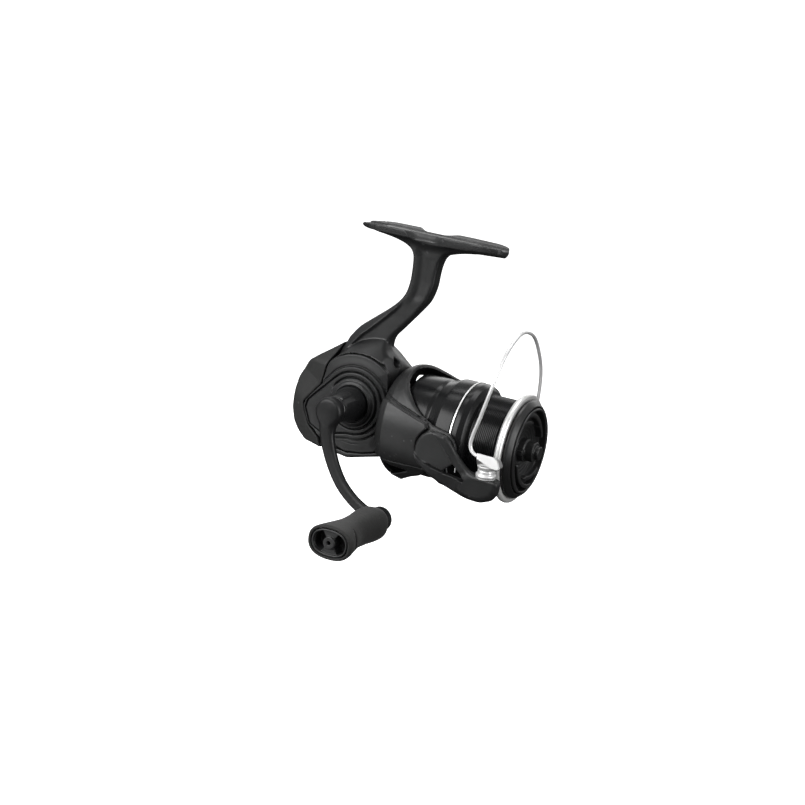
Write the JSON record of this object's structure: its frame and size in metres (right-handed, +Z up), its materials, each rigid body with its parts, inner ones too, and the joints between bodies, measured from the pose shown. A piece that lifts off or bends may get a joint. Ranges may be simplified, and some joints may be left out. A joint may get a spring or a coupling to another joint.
{
  "type": "fishing reel",
  "caption": "Open-face spinning reel with rod foot, folding-bail wire, line roller, slotted rotor, front-drag spool and single crank handle with an oval paddle knob.",
  "frame": {"origin": "centre of the foot's flat top face, where it seats against the rod", "axes": "+X forward along the spool towards the line, +Z up out of the foot's face towards the rod, handle on the -Y side"},
  "size_m": [0.1112, 0.1111, 0.1194],
  "materials": {
    "body_black": "satin black, fine grain",
    "satin_black": "matte black",
    "gloss_black": "glossy black anodised",
    "alloy_black": "satin black paint",
    "grip_rubber": "soft matte",
    "seal_rubber": "matte",
    "silver": "polished",
    "polished_steel": "polished",
    "steel": "bare steel",
    "brass": "machined"
  },
  "bodies": {
    "frame": {"body_frame": "body_black", "rear_cover": "satin_black", "side_cover": "body_black", "left_cap": "satin_black", "drive_bearing_right": "steel", "drive_bearing_left": "steel", "pinion_bearing_front": "steel", "pinion_bearing_rear": "steel", "pinion_bracket": "satin_black", "one_way_clutch": "steel", "clutch_seal": "seal_rubber", "slider_rod_near": "steel", "slider_rod_far": "steel", "body_screw_top": "steel", "body_screw_bottom": "steel", "rear_cover_screw": "steel"},
    "handle": {"handle_arm": "alloy_black", "handle_collar": "gloss_black", "drive_shaft": "steel", "drive_gear": "brass", "oscillation_pinion": "steel", "knob_spindle": "steel"},
    "knob": {"handle_knob": "grip_rubber", "knob_end_cap": "satin_black", "knob_bearing_inner": "steel", "knob_bearing_outer": "steel"},
    "oscillation_gear": {"oscillation_gear": "steel"},
    "rotor": {"rotor": "body_black", "arm_cover_roller_side": "body_black", "arm_cover_far_side": "body_black", "pinion_gear": "brass", "clutch_sleeve": "steel", "rotor_nut": "brass", "pivot_pin_roller_side": "steel", "pivot_pin_far_side": "steel"},
    "bail": {"bail_lever": "body_black", "bail_lever_far": "body_black", "bail_wire": "polished_steel", "wire_cone": "silver", "roller_axle": "steel", "roller_bearing": "steel", "roller_washer": "polished_steel"},
    "line_roller": {"line_roller": "polished_steel"},
    "shaft": {"main_shaft": "steel", "oscillation_slider": "satin_black", "click_gear": "steel", "drag_plate": "steel"},
    "spool": {"spool": "gloss_black", "spool_lip_ring": "silver", "spool_front_flange": "satin_black", "skirt_trim_ring": "silver", "drag_washer_rear": "seal_rubber", "drag_washer_front": "seal_rubber"},
    "drag": {"drag_knob": "satin_black", "drag_pressure_plate": "steel", "drag_spring": "steel"}
  },
  "joints": [
    {"name": "handle_spin", "type": "hinge", "parent": "frame", "child": "handle", "pos_m": [-0.02, 0, -0.075], "axis": [0, 1, 0], "continuous": true},
    {"name": "rotor_spin", "type": "hinge", "parent": "frame", "child": "rotor", "pos_m": [-0.005, 0, -0.08], "axis": [1, 0, 0], "continuous": true},
    {"name": "oscillation_spin", "type": "hinge", "parent": "frame", "child": "oscillation_gear", "pos_m": [-0.0316, 0, -0.075], "axis": [0, 1, 0], "continuous": true},
    {"name": "knob_spin", "type": "hinge", "parent": "handle", "child": "knob", "pos_m": [0.0105, -0.06, -0.1125], "axis": [0, 1, 0], "continuous": true},
    {"name": "bail_flip", "type": "hinge", "parent": "rotor", "child": "bail", "pos_m": [0.026, 0, -0.08], "axis": [0, 0.9962, 0.0872], "range_deg": [0, 100]},
    {"name": "line_roller_spin", "type": "hinge", "parent": "bail", "child": "line_roller", "pos_m": [0.0493, -0.02795, -0.08405], "axis": [0, -0.0872, 0.9962], "continuous": true},
    {"name": "spool_stroke", "type": "slide", "parent": "frame", "child": "shaft", "axis": [1, 0, 0], "range_m": [-0.006, 0.006]},
    {"name": "spool_drag", "type": "hinge", "parent": "shaft", "child": "spool", "pos_m": [0.04, 0, -0.08], "axis": [1, 0, 0], "continuous": true},
    {"name": "drag_knob_turn", "type": "hinge", "parent": "shaft", "child": "drag", "pos_m": [0.054, 0, -0.08], "axis": [1, 0, 0], "range_deg": [-540, 270]}
  ],
  "couplings": [
    {"joint": "rotor_spin", "follows": "handle_spin", "ratio": 5.25},
    {"joint": "oscillation_spin", "follows": "handle_spin", "ratio": -0.5}
  ]
}
